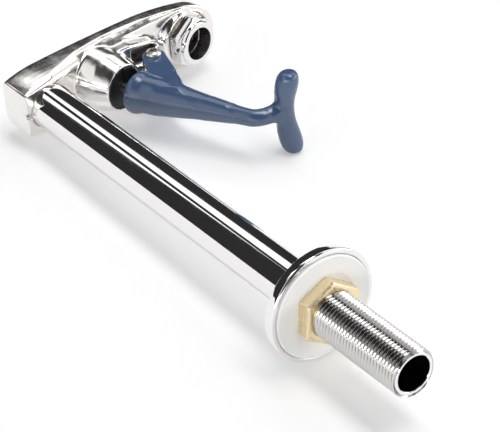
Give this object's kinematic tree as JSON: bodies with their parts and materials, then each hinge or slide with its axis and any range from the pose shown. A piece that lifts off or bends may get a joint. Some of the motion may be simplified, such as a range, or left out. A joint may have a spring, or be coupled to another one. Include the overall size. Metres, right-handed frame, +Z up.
{
  "type": "glass filler faucet",
  "caption": "Deck-mounted glass filler: chromed column and arm, blue push lever with a T bar, hexagon nozzle, flange, washer and lock nut.",
  "frame": {"origin": "on the column's axis at the deck, level with the underside of the flange washer", "axes": "+Z up along the column, -Y along the arm towards the nozzle and the lever, +X to the left of a user who faces the nozzle"},
  "size_m": [0.051, 0.1215, 0.2747],
  "materials": {
    "chrome": "polished chrome plate",
    "lever_blue": "satin moulded plastic",
    "washer_white": "matte moulded plastic",
    "bonnet_black": "satin moulded plastic",
    "brass": "machined, satin",
    "stainless": "machined, satin",
    "rubber": "smooth",
    "fibre": "pressed sheet"
  },
  "bodies": {
    "faucet": {"head_casting": "chrome", "column_pipe": "chrome", "base_flange": "chrome", "nozzle": "chrome", "flange_washer": "washer_white", "lock_nut": "brass", "joint_set_screw": "stainless", "pivot_bush": "washer_white", "valve_bonnet": "bonnet_black", "bonnet_gasket": "fibre", "pipe_gasket": "fibre", "nozzle_gasket": "fibre", "flange_seal": "rubber", "stem_o_ring": "rubber", "seat_o_ring": "rubber", "valve_seat": "brass", "valve_spring": "stainless", "flow_straightener": "bonnet_black"},
    "lever": {"lever": "lever_blue", "lever_pad": "bonnet_black", "pivot_screw": "stainless"},
    "stem": {"valve_stem": "stainless", "valve_seal": "rubber", "spring_retainer": "stainless"}
  },
  "joints": [
    {"name": "lever_pivot", "type": "hinge", "parent": "faucet", "child": "lever", "pos_m": [0, -0.0523, 0.1934], "axis": [1, 0, 0], "range_deg": [0, 6.8], "stiffness_Nm_per_rad": 3, "springref_deg": -8.59},
    {"name": "stem_slide", "type": "slide", "parent": "faucet", "child": "stem", "axis": [0, 0.23, 0.9732], "range_m": [0, 0.0024], "deforming": ["valve_spring"]}
  ],
  "couplings": [
    {"joint": "stem_slide", "follows": "lever_pivot", "m_per_rad": 0.0194}
  ]
}
